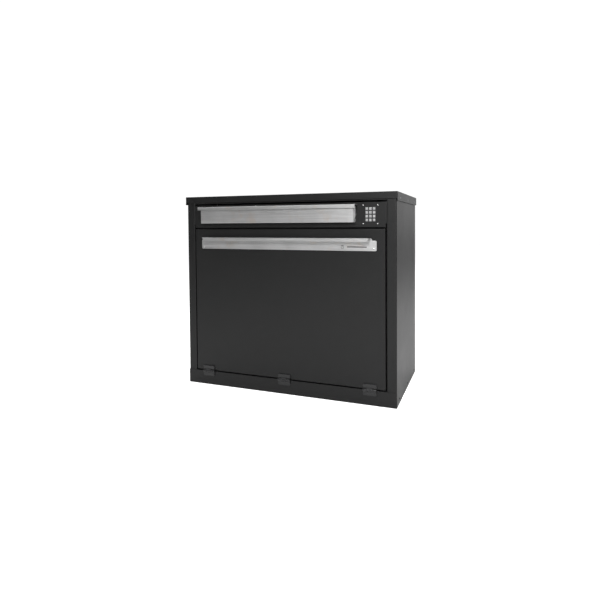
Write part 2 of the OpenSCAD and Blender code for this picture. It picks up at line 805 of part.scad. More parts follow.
// Slotted quadrants that hold the open door, and the studs that run in their slots
module hinge_sector(r, x, from, to) {
    translate([x[0], hinge_y, hinge_z]) rotate([90, 0, 90]) rotate([0, 0, from])
        rotate_extrude(angle = to - from, $fn = 96)
            translate([r[0], 0]) square([r[1] - r[0], x[1] - x[0]]);
}
module stay() {
    slot_low = stay_stud_angle - door_swing;
    x = [stay_x - stay_t, stay_x];
    over = [x[0] - 1, x[1] + 1];
    band = [stay_radius - stay_band / 2, stay_radius + stay_band / 2];
    foot_z0 = hinge_z + band[0] - stay_foot_margin;
    foot_z1 = hinge_z + band[1] + stay_foot_margin;
    color(SATIN) difference() {
        union() {
            hinge_sector(band, x, slot_low - stay_margin, 90);
            block([stay_x - stay_foot_w, stay_x], [door_back_y, door_back_y + foot_t], [foot_z0, foot_z1]);
        }
        block(over, [hinge_y - 50, door_back_y], [0, foot_z1 + 50]);
        hinge_sector([stay_radius - slot_half, stay_radius + slot_half], over, slot_low, stay_stud_angle);
        for (a = [slot_low, stay_stud_angle])
            rod_x(slot_half, over, hinge_y + stay_radius * cos(a), hinge_z + stay_radius * sin(a));
        stay_screw_pair(screw_r + touch, [door_back_y - 1, door_back_y + foot_t + 1]);
    }
}
module stay_screw_pair(r, y) {
    for (s = [-1, 1])
        rod_y(r, stay_x - stay_foot_w + 9, y, hinge_z + stay_radius + s * (stay_band / 2 - 1));
}
module stay_right() {
    stay();
}
module stay_left() {
    mirror([1, 0, 0]) stay();
}
module stay_studs() {
    stud_y = hinge_y + stay_radius * cos(stay_stud_angle);
    stud_z = hinge_z + stay_radius * sin(stay_stud_angle);
    color(STEEL) both_sides() union() {
        rod_x(stay_stud_r, [stay_x - stay_t - 3, clear_x], stud_y, stud_z);
        rod_x(stay_collar_r, [stay_x - stay_t - 5, stay_x - stay_t - 2], stud_y, stud_z);
        rod_x(stay_collar_r, [clear_x - 3, clear_x], stud_y, stud_z);
    }
}

// Door: a folded outer skin, an inner pan and four seal strips
module door_skin() {
    color(BLACK) difference() {
        block([-door_x, door_x], [face_y, door_back_y], [door_bottom, door_top]);
        block([-door_x + sheet, door_x - sheet], [face_y + sheet, door_back_y + 1],
            [door_bottom + sheet, door_top - sheet]);
        for (hx = hinge_xs, s = [-1, 1])
            rod_y(leaf_stud_r + touch, hx + s * leaf_stud_x, [face_y - 1, face_y + sheet + 1], hinge_z + leaf_mid);
        both_sides() rod_y(handle_rivet_r + touch, handle_x - handle_rivet_inset,
            [face_y - 1, face_y + sheet + 1], handle_rivet_z);
    }
}
module door_inner_pan() {
    pan_x = door_x - sheet;
    color(BLACK) difference() {
        block([-pan_x, pan_x], [door_back_y - pan_t, door_back_y], [door_bottom + sheet, door_top - sheet]);
        both_sides() stay_screw_pair(screw_r + touch, [door_back_y - pan_t - 1, door_back_y + 1]);
        striker_screw_pair(screw_r + touch, [door_back_y - pan_t - 1, door_back_y + 1]);
    }
}
module door_seal() {
    y = [door_back_y, stop_y - seal_play];
    x = door_x - seal_margin;
    low = door_bottom + seal_margin;
    high = door_top - seal_margin;
    cut = 0.2;
    color(RUBBER) {
        both_sides() block([x - seal_w, x], y, [low, high]);
        block([-x + seal_w + cut, x - seal_w - cut], y, [low, low + seal_w]);
        block([-x + seal_w + cut, x - seal_w - cut], y, [high - seal_w, high]);
    }
}

// Pull handle folded from one plate: the plate, a web forwards and a lip down
module door_handle() {
    plate_bottom = handle_top - handle_h;
    web_x = handle_x - handle_shoulder;
    web_top = handle_top + handle_rise;
    lip_y = face_y - handle_reach;
    color(STEEL) difference() {
        union() {
            translate([0, face_y, 0]) rotate([90, 0, 0]) linear_extrude(height = handle_t)
                polygon([[-handle_x, plate_bottom], [handle_x, plate_bottom], [handle_x, handle_top],
                    [web_x + shoulder_slant, handle_top], [web_x, web_top],
                    [-web_x, web_top], [-web_x - shoulder_slant, handle_top], [-handle_x, handle_top]]);
            block([-web_x, web_x], [lip_y, face_y - handle_t], [web_top - handle_t, web_top]);
            translate([0, lip_y + handle_t, 0]) rotate([90, 0, 0]) linear_extrude(height = handle_t)
                polygon([[-web_x, web_top], [-web_x + handle_mitre, web_top - handle_lip],
                    [web_x - handle_mitre, web_top - handle_lip], [web_x, web_top]]);
        }
        both_sides() rod_y(handle_rivet_r + touch, handle_x - handle_rivet_inset,
            [face_y - handle_t - 1, face_y + 1], handle_rivet_z);
    }
}
module handle_rivets() {
    x = handle_x - handle_rivet_inset;
    color(STEEL) both_sides() union() {
        rod_y(handle_head_r, x, [face_y - handle_t - handle_head_h, face_y - handle_t], handle_rivet_z);
        rod_y(handle_rivet_r, x, [face_y - handle_t, face_y + sheet], handle_rivet_z);
        rod_y(rivet_head_r, x, [face_y + sheet, face_y + sheet + rivet_tail_h], handle_rivet_z);
    }
}

// Striker that the bolt drops through, and the screws on the inner pan
module striker_screw_pair(r, y) {
    for (s = [-1, 1])
        rod_y(r, lock_x + s * (tongue_w / 2 + 6), y, tongue_z + tongue_t / 2);
}
module striker() {
    plate_x = tongue_w / 2 + 11;
    color(SATIN) difference() {
        union() {
            block([lock_x - plate_x, lock_x + plate_x], [door_back_y, door_back_y + foot_t],
                [tongue_z - 10, tongue_z + tongue_t + 10]);
            block([lock_x - tongue_w / 2, lock_x + tongue_w / 2], [door_back_y, bolt_y + eye_r + 3],
                [tongue_z, tongue_z + tongue_t]);
        }
        rod_z(eye_r, lock_x, bolt_y, [tongue_z - 1, tongue_z + tongue_t + 1]);
        striker_screw_pair(screw_r + touch, [door_back_y - 1, door_back_y + foot_t + 1]);
    }
}
module door_screws() {
    screw_y = [door_back_y - pan_t - 5, door_back_y + foot_t];
    head_y = [door_back_y + foot_t, door_back_y + foot_t + screw_head_h];
    color(ZINC) {
        union() {
            striker_screw_pair(screw_r, screw_y);
            striker_screw_pair(screw_head_r, head_y);
        }
        both_sides() union() {
            stay_screw_pair(screw_r, screw_y);
            stay_screw_pair(screw_head_r, head_y);
        }
    }
}

// Hopper mail flap: a folded face, a lip rail on top of it with a turned-down front, and a cheek at each end
module flap_face() {
    color(STEEL) {
        block([flap_l, flap_r], [flap_face_y, flap_face_y + sheet], [flap_bottom, flap_top]);
        block([flap_l, flap_r], [flap_face_y, front_y - flap_top_clear], [flap_top - sheet, flap_top]);
        block([flap_l, flap_r], [flap_face_y, flap_face_y + flap_bottom_return],
            [flap_bottom, flap_bottom + sheet]);
    }
}
module flap_lip() {
    color(STEEL) difference() {
        block(flap_lip_x, [flap_lip_y, front_y - flap_top_clear], [flap_top, flap_lip_top]);
        lip_screw_row(screw_r + touch, [flap_top - 1, flap_lip_top + 1]);
    }
}
module flap_lip_front() {
    color(STEEL) block(flap_lip_x, [flap_lip_y, flap_lip_y + sheet], [flap_lip_top - flap_lip_h, flap_top]);
}
module lip_screw_row(r, z) {
    for (i = [0, 1])
        rod_z(r, flap_lip_x[0] + lip_screw_inset + i * lip_screw_pitch, flap_face_y + 6, z);
}
module flap_lip_screws() {
    color(STEEL) union() {
        lip_screw_row(screw_r, [flap_top, flap_lip_top]);
        lip_screw_row(large_head_r, [flap_lip_top, flap_lip_top + screw_head_h]);
    }
}
module cheek(x) {
    front = flap_face_y + sheet;
    low = flap_bottom + sheet;
    difference() {
        union() {
            intersection() {
                rod_x(cheek_r, x, pivot_y, pivot_z);
                union() {
                    block(x, [front, pivot_y], [low, flap_top - sheet]);
                    translate([x[0], pivot_y, pivot_z]) rotate([cheek_rear_angle, 0, 0])
                        cube([x[1] - x[0], cheek_r + 1, cheek_r + 1]);
                }
            }
            rod_x(cheek_boss_r, x, pivot_y, pivot_z);
        }
        block([x[0] - 1, x[1] + 1], [front - 50, front], [low - 50, flap_top + 50]);
        block([x[0] - 1, x[1] + 1], [front - 50, pivot_y + 50], [low - 50, low]);
        rod_x(flap_rod_r + running, [x[0] - 1, x[1] + 1], pivot_y, pivot_z);
    }
}
module flap_cheeks() {
    color(STEEL) {
        cheek([flap_l, flap_l + sheet]);
        cheek([flap_r - sheet, flap_r]);
    }
}

left_side_panel();
right_side_panel();
back_panel();
back_rivets();
floor_tray();
base_screws();
plinth();
door_sill();
sill_land();
header_rail();
mullion();
top_cap();
cap_rivets();
fascia_panel();
mail_chute();
flap_rod();
flap_brackets();
flap_springs();
keypad_bezel();
keypad_housing();
keypad_screws();
keypad_board();
key_switches();
lock_case();
lock_cover();
control_box();
control_box_cover();
battery_cells();
control_leads();
hinge_base_leaves();
hinge_pins();
base_hinge_nuts();
stay_studs();
door_skin();
door_inner_pan();
door_seal();
door_handle();
handle_rivets();
hinge_door_leaves();
door_hinge_nuts();
stay_left();
stay_right();
striker();
door_screws();
flap_face();
flap_lip();
flap_lip_front();
flap_lip_screws();
flap_cheeks();
lock_bolt();
for (i = [0 : 11])
    key(i);
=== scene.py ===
"""Parcel locker: the steel cabinet, its drop-down door, mail flap, keypad and lock, in the studio."""

import math

import bmesh
import bpy
from mathutils import Matrix, Vector


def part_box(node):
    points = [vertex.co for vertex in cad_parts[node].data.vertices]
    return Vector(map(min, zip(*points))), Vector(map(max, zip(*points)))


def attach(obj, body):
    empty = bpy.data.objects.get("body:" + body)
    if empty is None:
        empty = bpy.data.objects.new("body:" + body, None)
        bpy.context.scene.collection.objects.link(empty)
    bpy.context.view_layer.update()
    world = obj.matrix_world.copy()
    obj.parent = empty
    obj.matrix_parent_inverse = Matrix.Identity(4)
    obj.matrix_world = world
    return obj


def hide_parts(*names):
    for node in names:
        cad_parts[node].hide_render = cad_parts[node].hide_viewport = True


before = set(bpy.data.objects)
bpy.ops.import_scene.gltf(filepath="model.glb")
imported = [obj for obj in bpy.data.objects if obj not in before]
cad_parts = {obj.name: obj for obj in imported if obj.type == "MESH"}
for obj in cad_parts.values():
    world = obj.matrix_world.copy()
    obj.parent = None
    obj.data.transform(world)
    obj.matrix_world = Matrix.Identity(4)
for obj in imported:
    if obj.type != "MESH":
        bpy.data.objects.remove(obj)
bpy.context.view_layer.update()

MM = 0.001
SHEET = 2.0
X, Y, Z = Vector((1, 0, 0)), Vector((0, 1, 0)), Vector((0, 0, 1))


# ---- Measures taken from the frame, in millimetres ----

def span(node):
    """Lowest and highest value of a node along x, y and z."""
    low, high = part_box(node)
    return [(round(low[i] / MM, 2), round(high[i] / MM, 2)) for i in range(3)]


def middle(pair):
    return (pair[0] + pair[1]) / 2


def evenly(first, last, count):
    return [first + (last - first) * i / (count - 1) for i in range(count)]


# ---- Materials ----

class Value:
    """A number that varies over a surface. Arithmetic on it adds Math nodes."""

    def __init__(self, finish, socket):
        self.finish = finish
        self.socket = socket

    def maths(self, operation, *terms):
        node = self.finish.add("ShaderNodeMath", {"operation": operation}, dict(enumerate(terms)))
        return Value(self.finish, node.outputs[0])

    def __add__(self, other):
        return self.maths("ADD", self, other)

    def __sub__(self, other):
        return self.maths("SUBTRACT", self, other)

    def __rsub__(self, other):
        return self.maths("SUBTRACT", other, self)

    def __mul__(self, other):
        return self.maths("MULTIPLY", self, other)

    def __truediv__(self, other):
        return self.maths("DIVIDE", self, other)

    def __rtruediv__(self, other):
        return self.maths("DIVIDE", other, self)

    def __pow__(self, other):
        return self.maths("POWER", self, other)

    __radd__ = __add__
    __rmul__ = __mul__

    def clamped(self):
        return self.maths("MINIMUM", self.maths("MAXIMUM", self, 0.0), 1.0)


class Nodes:
    """The node tree of a material or of the world."""

    def __init__(self, owner):
        owner.use_nodes = True
        self.tree = owner.node_tree
        self.tree.nodes.clear()

    def add(self, kind, settings=None, sockets=None):
        node = self.tree.nodes.new(kind)
        for key, value in (settings or {}).items():
            if key == "stops":
                stops = node.color_ramp.elements
                while len(stops) < len(value):
                    stops.new(1.0)
                for stop, (at, colour) in zip(stops, value):
                    stop.position, stop.color = at, colour
            else:
                setattr(node, key, value)
        for key, value in (sockets or {}).items():
            self.feed(node.inputs[key], value)
        return node

    def feed(self, socket, value):
        if isinstance(value, Value):
            value = value.socket
        if isinstance(value, bpy.types.NodeSocket):
            self.tree.links.new(value, socket)
        else:
            socket.default_value = value

    def part_of(self, vector, axis):
        """One component of a vector."""
        return Value(self, self.add("ShaderNodeSeparateXYZ", {}, {0: vector}).outputs[axis])

    def ranged(self, value, low, high, to_low, to_high):
        node = self.add("ShaderNodeMapRange", {}, {
            "Value": value, "From Min": low, "From Max": high, "To Min": to_low, "To Max": to_high})
        return Value(self, node.outputs[0])

    def blended(self, share, first, second):
        node = self.add("ShaderNodeMix", {"data_type": "RGBA"}, {"Factor": share, 6: first, 7: second})
        return node.outputs[2]

    def seen(self):
        """1 where the camera looks straight at a surface, and 0 in light that bounces."""
        return Value(self, self.add("ShaderNodeLightPath").outputs["Is Camera Ray"])


class Finish(Nodes):
    """One procedural material on a Principled shader."""

    def __init__(self, name, slot):
        self.slot = slot
        self.material = bpy.data.materials.new(name)
        super().__init__(self.material)
        self.shader = self.add("ShaderNodeBsdfPrincipled")
        self.add("ShaderNodeOutputMaterial", {}, {"Surface": self.shader.outputs[0]})
        self.place = self.add("ShaderNodeTexCoord").outputs["Object"]

    def stretched(self, scale, at=(0, 0, 0)):
        inputs = {"Vector": self.place, "Scale": scale, "Location": at}
        return self.add("ShaderNodeMapping", {}, inputs).outputs[0]

    def noise(self, scale, detail=3.0, rough=0.5, place=None):
        sockets = {"Vector": place or self.place, "Scale": scale, "Detail": detail, "Roughness": rough}
        return Value(self, self.add("ShaderNodeTexNoise", {}, sockets).outputs[0])

    def relief(self, height, strength, distance):
        node = self.add("ShaderNodeBump", {}, {"Height": height, "Strength": strength, "Distance": distance})
        self.feed(self.shader.inputs["Normal"], node.outputs[0])

    def set(self, **sockets):
        for key, value in sockets.items():
            self.feed(self.shader.inputs[key.replace("_", " ")], value)


def grey(value, warm=0.0):
    """A grey, a little warm or cool, as a colour with alpha."""
    return (value * (1 + warm), value, value * (1 - warm), 1)


def powder_coat(name, slot, tone, rough):
    """Baked powder coat: fine orange peel, faint clouding and dust settled low down."""
    coat = Finish(name, slot)
    peel = coat.noise(620, 2.0, 0.55)
    cloud = coat.noise(7, 4.0, 0.6)
    speck = coat.ranged(coat.noise(1500, 1.0), 0.62, 0.78, 0.0, 1.0)
    low_dust = coat.ranged(coat.part_of(coat.place, 2), 0.0, 0.12, 0.3, 0.0) * coat.noise(40, 3.0)
    share = (cloud * 0.5 + speck * 0.25 + low_dust).clamped()
    coat.set(Base_Color=coat.blended(share, grey(tone, -0.02), grey(tone * 1.7, 0.0)),
             Roughness=rough + (cloud - 0.5) * 0.1 + low_dust * 0.2,
             Specular_IOR_Level=0.34)
    coat.relief(peel, 0.10, 0.0004)
    return coat


def brushed_steel(name, slot, along, tone, rough, metallic=1.0):
    """Stainless sheet brushed along one axis, with long streaks and a faint warm cast."""
    steel = Finish(name, slot)
    fine = [1500.0, 1500.0, 1500.0]
    broad = [170.0, 170.0, 170.0]
    fine[along], broad[along] = 9.0, 2.0
    hair = steel.noise(1.0, 2.0, 0.6, steel.stretched(fine))
    band = steel.noise(1.0, 3.0, 0.6, steel.stretched(broad, (3.1, 1.7, 0.4)))
    blotch = steel.noise(9.0, 3.0, 0.6)
    share = steel.ranged(hair * 0.35 + band * 0.3 + blotch * 0.35, 0.32, 0.68, 0.0, 1.0)
    plain = steel.blended(share, grey(tone * 0.7), grey(tone * 1.12))
    warm = steel.ranged(steel.noise(14.0, 4.0, 0.65), 0.56, 0.72, 0.0, 0.55)
    steel.set(Base_Color=steel.blended(warm, plain, (tone * 0.92, tone * 0.80, tone * 0.70, 1)),
              Roughness=rough + (hair - 0.5) * 0.22 + (band - 0.5) * 0.12,
              Metallic=metallic)
    steel.relief(hair, 0.16, 0.0002)
    return steel


def plated(name, slot, tone, rough, warm=0.0):
    """Plated or satin metal with a fine mottled bloom."""
    metal = Finish(name, slot)
    bloom = metal.noise(260, 4.0, 0.6)
    grain = metal.noise(1800, 2.0)
    metal.set(Base_Color=metal.blended(bloom, grey(tone * 0.8, warm), grey(tone * 1.15, warm)),
              Roughness=rough + (bloom - 0.5) * 0.2, Metallic=1.0)
    metal.relief(grain, 0.08, 0.0002)
    return metal


def moulded(name, slot, colour, rough, grain_scale=900, depth=0.25):
    """Moulded or coated part with a fine even grain."""
    part = Finish(name, slot)
    grain = part.noise(grain_scale, 2.0, 0.6)
    cloud = part.noise(30, 3.0)
    lighter = tuple(min(1.0, c * 1.5) for c in colour)
    part.set(Base_Color=part.blended(cloud, (*colour, 1), (*lighter, 1)),
             Roughness=rough + (cloud - 0.5) * 0.12)
    part.relief(grain, depth, 0.0003)
    return part


def printed_board():
    """Green solder mask with fine copper tracks under it."""
    board = Finish("printed_board", "circuit_board")
    lines = board.add("ShaderNodeTexBrick", {}, {"Vector": board.stretched((1, 1, 1)), "Scale": 160.0,
                                                 "Mortar Size": 0.04, "Brick Width": 0.8, "Row Height": 0.3})
    track = Value(board, lines.outputs["Fac"])
    board.set(Base_Color=board.blended(track, (0.02, 0.11, 0.045, 1), (0.10, 0.26, 0.09, 1)),
              Roughness=0.34 + track * 0.1)
    board.relief(track, 0.3, 0.0001)
    return board


COAT = powder_coat("black_powder_coat", "black_coat", 0.006, 0.40)
SATIN = moulded("satin_black_coat", "satin_black", (0.012, 0.012, 0.0125), 0.30, 500, 0.12)
STEEL = brushed_steel("steel_brushed_across", "stainless", 0, 0.63, 0.42)
STEEL_ROD = brushed_steel("steel_drawn", "stainless", 0, 0.60, 0.26)
# A rougher, lighter, part-diffuse copy of the stainless: its extra brightness is painted light from the
# right.
STEEL_PAINTED_LIGHT = brushed_steel("steel_rough_painted_light", "stainless", 2, 0.8, 0.6, 0.35)
BRIGHT = plated("steel_bright", "stainless", 0.72, 0.24)
ZINC = plated("zinc_plate", "zinc_plate", 0.42, 0.42, -0.02)
BEZEL = plated("bezel_metal", "zinc_plate", 0.10, 0.46)
KEY = plated("key_metal", "key_steel", 0.9, 0.3)
PLASTIC = moulded("black_plastic", "black_plastic", (0.018, 0.018, 0.02), 0.5)
RUBBER = moulded("black_rubber", "black_rubber", (0.010, 0.010, 0.010), 0.72, 420, 0.4)
ETCH = moulded("etched_mark", "black_plastic", (0.035, 0.035, 0.035), 0.5)
DIGIT = moulded("etched_digit", "key_steel", (0.16, 0.16, 0.16), 0.45)
BLACK_SCREW = moulded("black_screw", "black_coat", (0.004, 0.004, 0.004), 0.6, 500, 0.12)
BOARD = printed_board()


# ---- Mesh work, in millimetres ----

def added_since(bm, before):
    return [v for v in bm.verts if v not in before]


def edges_of(verts):
    return list({e for v in verts for e in v.link_edges})


def faces_of(verts):
    return list({f for v in verts for f in v.link_faces})


def eased(bm, edges, size, segments=2):
    """Rounds edges off."""
    bmesh.ops.bevel(bm, geom=edges, offset=size, segments=segments, profile=0.5, affect="EDGES", material=-1,
                    clamp_overlap=True)


def block(bm, x, y, z):
    verts = bmesh.ops.create_cube(bm, size=1)["verts"]
    bmesh.ops.scale(bm, vec=(x[1] - x[0], y[1] - y[0], z[1] - z[0]), verts=verts)
    bmesh.ops.translate(bm, vec=(middle(x), middle(y), middle(z)), verts=verts)
    return verts


def plate(bm, x, y, z, edge=0.4, corner=0.0, through="Y"):
    """A plate with eased edges, and rounded corners where corner is given."""
    before = set(bm.verts)
    verts = block(bm, x, y, z)
    if corner:
        way = {"X": X, "Y": Y, "Z": Z}[through]
        upright = [e for e in edges_of(verts)
                   if abs((e.verts[0].co - e.verts[1].co).normalized().dot(way)) > 0.99]
        eased(bm, upright, corner, 5)
    sharp = [e for e in edges_of(added_since(bm, before)) if e.calc_face_angle(0) > math.radians(50)]
    eased(bm, sharp, edge)
    return added_since(bm, before)


def turned(bm, profile, at, axis, steps=24):
    """A closed shape turned about an axis: profile holds (radius, distance along the axis)."""
    before = set(bm.verts)
    verts = [bm.verts.new((r, 0, h)) for r, h in profile]
    edges = [bm.edges.new(pair) for pair in zip(verts, verts[1:])]
    bmesh.ops.spin(bm, geom=verts + edges, cent=(0, 0, 0), axis=(0, 0, 1), dvec=(0, 0, 0),
                   angle=2 * math.pi, steps=steps, use_merge=True, use_duplicate=False)
    bmesh.ops.remove_doubles(bm, verts=added_since(bm, before), dist=0.001)
    made = added_since(bm, before)
    bmesh.ops.recalc_face_normals(bm, faces=faces_of(made))
    turn = Z.rotation_difference(Vector(axis)).to_matrix().to_4x4()
    bmesh.ops.transform(bm, matrix=Matrix.Translation(at) @ turn, verts=made)
    return made


def folded(bm, path, run, along, outward, bend, thickness=SHEET):
    """A sheet folded along path and run long along an axis. The path is its outward face."""
    before = set(bm.verts)
    place = {"X": lambda u, v, w: Vector((w, u, v)), "Z": lambda u, v, w: Vector((u, v, w))}[along]
    verts = [bm.verts.new(place(u, v, run[0])) for u, v in path]
    edges = [bm.edges.new(pair) for pair in zip(verts, verts[1:])]
    made = bmesh.ops.extrude_edge_only(bm, edges=edges)["geom"]
    far = [g for g in made if isinstance(g, bmesh.types.BMVert)]
    bmesh.ops.translate(bm, vec=place(0, 0, run[1] - run[0]), verts=far)
    thicken(bm, before, outward, bend, thickness)
    return added_since(bm, before)


def thicken(bm, before, outward, bend, thickness):
    """Rounds the folds of an open sheet and gives it its thickness behind the outward face."""
    bm.normal_update()
    faces = faces_of(added_since(bm, before))
    if sum(f.normal.dot(outward) * f.calc_area() for f in faces) < 0:
        bmesh.ops.reverse_faces(bm, faces=faces)
    folds = [e for e in edges_of(added_since(bm, before))
             if len(e.link_faces) == 2 and e.calc_face_angle(0) > math.radians(30)]
    eased(bm, folds, bend, 4)
    bmesh.ops.solidify(bm, geom=faces_of(added_since(bm, before)), thickness=thickness)


def cut_face(bm, x, z, y, holes):
    """A flat upright face with rectangular holes cut out of it."""
    before = set(bm.verts)
    corners = [(x[0], z[0]), (x[1], z[0]), (x[1], z[1]), (x[0], z[1])]
    bm.faces.new([bm.verts.new((u, y, v)) for u, v in corners])
    cuts = [((u, 0, 0), X) for hole in holes for u in hole[0]]
    cuts += [((0, 0, v), Z) for hole in holes for v in hole[1]]
    for point, normal in cuts:
        made = added_since(bm, before)
        bmesh.ops.bisect_plane(bm, geom=made + edges_of(made) + faces_of(made), dist=0.001,
                               plane_co=point, plane_no=normal)
    gone = []
    for f in faces_of(added_since(bm, before)):
        c = f.calc_center_median()
        if any(h[0][0] < c.x < h[0][1] and h[1][0] < c.z < h[1][1] for h in holes):
            gone.append(f)
    bmesh.ops.delete(bm, geom=gone, context="FACES")
    return before


def fold_back(bm, edges, vec):
    """Folds a return along the given free edges."""
    made = bmesh.ops.extrude_edge_only(bm, edges=edges)["geom"]
    bmesh.ops.translate(bm, vec=vec, verts=[g for g in made if isinstance(g, bmesh.types.BMVert)])


def piece(bm, name, body, nodes, finish, second=None):
    """Turns the mesh into an object that rides on a body and stands for the named nodes."""
    bmesh.ops.scale(bm, vec=(MM, MM, MM), verts=bm.verts)
    mesh = bpy.data.meshes.new(name)
    bm.to_mesh(mesh)
    bm.free()
    mesh.shade_smooth()
    mesh.set_sharp_from_angle(angle=math.radians(50))
    mesh.materials.append(finish.material)
    if second:
        mesh.materials.append(second.material)
    thing = bpy.data.objects.new(name, mesh)
    bpy.context.scene.collection.objects.link(thing)
    shading = thing.modifiers.new("flat_faces_first", "WEIGHTED_NORMAL")
    shading.keep_sharp = True
    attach(thing, body)
    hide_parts(*nodes)
    return thing


def pan_head(radius, height):
    """Profile of a screw head with a round socket, from its seat at 0."""
    return [(0, height * 0.35), (radius * 0.34, height * 0.35), (radius * 0.42, height * 0.96),
            (radius * 0.62, height), (radius * 0.86, height * 0.82), (radius, height * 0.42), (radius, 0)]


def screw(bm, at, axis, radius, height, shank, length):
    """A screw whose head stands out along axis, with its shank behind."""
    threads = []
    depth = 0.0
    while depth < length - 1:
        threads += [(shank, -depth), (shank * 0.86, -depth - 0.5)]
        depth += 1
    turned(bm, pan_head(radius, height) + threads + [(shank * 0.7, -length), (0, -length)], at, axis)


def rivet(bm, at, axis, radius, height, shank, length, tail):
    """A domed rivet with its shank and its closed tail."""
    dome = [(radius * math.sin(a), height * math.cos(a)) for a in evenly(0, math.pi / 2, 6)]
    back = [(shank, 0), (shank, -length), (tail, -length - 0.2), (tail, -length - 1.6),
            (tail * 0.5, -length - 2), (0, -length - 2)]
    turned(bm, dome + back, at, axis)


# ---- Cabinet ----

CAP_FRONT_SKIRT = 28.0

def side_panel(bm):
    x, y, z = span("right_side_panel")
    opening = span("header_rail")[0][1]
    seam = opening + 4
    plinth_top = span("plinth")[2][1]
    stop_y = span("mullion")[1][0]
    outer = [(seam, y[0]), (x[1], y[0]), (x[1], y[1]), (x[1] - 30, y[1])]
    folded(bm, outer, z, "Z", X, 4.0)
    jamb = [(seam, y[0]), (opening, y[0]), (opening, stop_y), (x[0], stop_y), (x[0], stop_y + 30)]
    folded(bm, jamb, (plinth_top, z[1] - SHEET), "Z", -X, 2.0)
    plate(bm, (x[1] - 30, x[1] - SHEET), (y[0] + SHEET, y[1] - SHEET), (z[1] - SHEET, z[1]), 0.3)


def side_panels():
    bm = bmesh.new()
    side_panel(bm)
    piece(bm, "side_right_folded", "cabinet", ["right_side_panel"], COAT)
    bm = bmesh.new()
    side_panel(bm)
    bmesh.ops.scale(bm, vec=(-1, 1, 1), verts=bm.verts)
    bmesh.ops.reverse_faces(bm, faces=bm.faces)
    piece(bm, "side_left_folded", "cabinet", ["left_side_panel"], COAT)


def top_cap():
    """Lid folded down on three sides, lower at the sides than at the front, with a hem inside each skirt."""
    x, y, z = span("top_cap")
    front_z, hem = z[1] - CAP_FRONT_SKIRT, 16.0
    bm = bmesh.new()
    verts = block(bm, x, y, z)
    bm.normal_update()
    open_sides = [f for f in faces_of(verts) if f.normal.z < -0.5 or f.normal.y > 0.5]
    bmesh.ops.delete(bm, geom=open_sides, context="FACES")
    bmesh.ops.bisect_plane(bm, geom=bm.verts[:] + bm.edges[:] + bm.faces[:], dist=0.001,
                           plane_co=(0, 0, front_z), plane_no=Z)
    below = [f for f in bm.faces if f.normal.y < -0.5 and f.calc_center_median().z < front_z]
    bmesh.ops.delete(bm, geom=below, context="FACES")
    thicken(bm, set(), Z, 1.5, SHEET)
    inner = (x[0] + SHEET, x[1] - SHEET)
    plate(bm, inner, (y[0] + SHEET, y[0] + 2 * SHEET), (front_z, front_z + hem), 0.5)
    for side_x in ((inner[0], inner[0] + SHEET), (inner[1] - SHEET, inner[1])):
        plate(bm, side_x, (y[0] + 2 * SHEET, y[1]), (z[0], z[0] + hem), 0.5)
    piece(bm, "top_cap_folded", "cabinet", ["top_cap"], COAT)


def plinth():
    """Front strip, the sill behind its top edge and the upright land of the seal."""
    bm = bmesh.new()
    plate(bm, *span("plinth"), 0.9)
    plate(bm, *span("door_sill"), 0.3)
    plate(bm, *span("sill_land"), 0.8)
    piece(bm, "plinth_folded", "cabinet", ["plinth", "door_sill", "sill_land"], COAT)


def header_rail():
    x, y, z = span("header_rail")
    bm = bmesh.new()
    folded(bm, [(y[1], z[0]), (y[0], z[0]), (y[0], z[1]), (y[1], z[1])], x, "X", -Y, 2.5)
    piece(bm, "header_rail_folded", "cabinet", ["header_rail"], COAT)


def mullion():
    x, y, z = span("mullion")
    bm = bmesh.new()
    folded(bm, [(y[1], z[0]), (y[0], z[0]), (y[0], z[1]), (y[0] + 24.5, z[1])], x, "X", -Y, 2.5)
    piece(bm, "mullion_folded", "cabinet", ["mullion"], COAT)


def fascia():
    x, y, z = span("fascia_panel")
    flap_x, flap_z = span("flap_face")[0], span("flap_face")[2]
    pad_x, pad_z = span("keypad_bezel")[0], span("keypad_bezel")[2]
    slot = ((flap_x[0] - 2, flap_x[1] + 2), (flap_z[0] + 17.5, flap_z[1] - 1))
    keypad = ((pad_x[0] + 5, pad_x[1] - 5), (pad_z[0] + 5, pad_z[1] - 5))
    notches = [((x[0] - 1, x[0] + 5), (z[0] - 1, z[0] + 15)), ((x[1] - 5, x[1] + 1), (z[0] - 1, z[0] + 15))]
    bm = bmesh.new()
    cut_face(bm, x, z, y[0], [slot, keypad, *notches])
    free = [e for e in bm.edges if len(e.link_faces) == 1]
    low = [e for e in free if all(abs(v.co.z - z[0]) < 0.01 for v in e.verts)]
    high = [e for e in free if all(abs(v.co.z - z[1]) < 0.01 for v in e.verts)]
    ends = [e for e in free if all(abs(abs(v.co.x) - x[1]) < 0.01 for v in e.verts)]
    fold_back(bm, low, (0, y[1] - y[0], 0))
    fold_back(bm, high, (0, 15, 0))
    fold_back(bm, ends, (0, 15, 0))
    thicken(bm, set(), -Y, 1.6, SHEET)
    piece(bm, "fascia_folded", "cabinet", ["fascia_panel"], COAT)


def floor_tray():
    x, y, z = span("floor_tray")
    bm = bmesh.new()
    verts = block(bm, x, y, z)
    bm.normal_update()
    bmesh.ops.delete(bm, geom=[f for f in faces_of(verts) if f.normal.z > 0.5], context="FACES")
    thicken(bm, set(), -Z, 2.5, SHEET)
    piece(bm, "floor_tray_folded", "cabinet", ["floor_tray"], COAT)


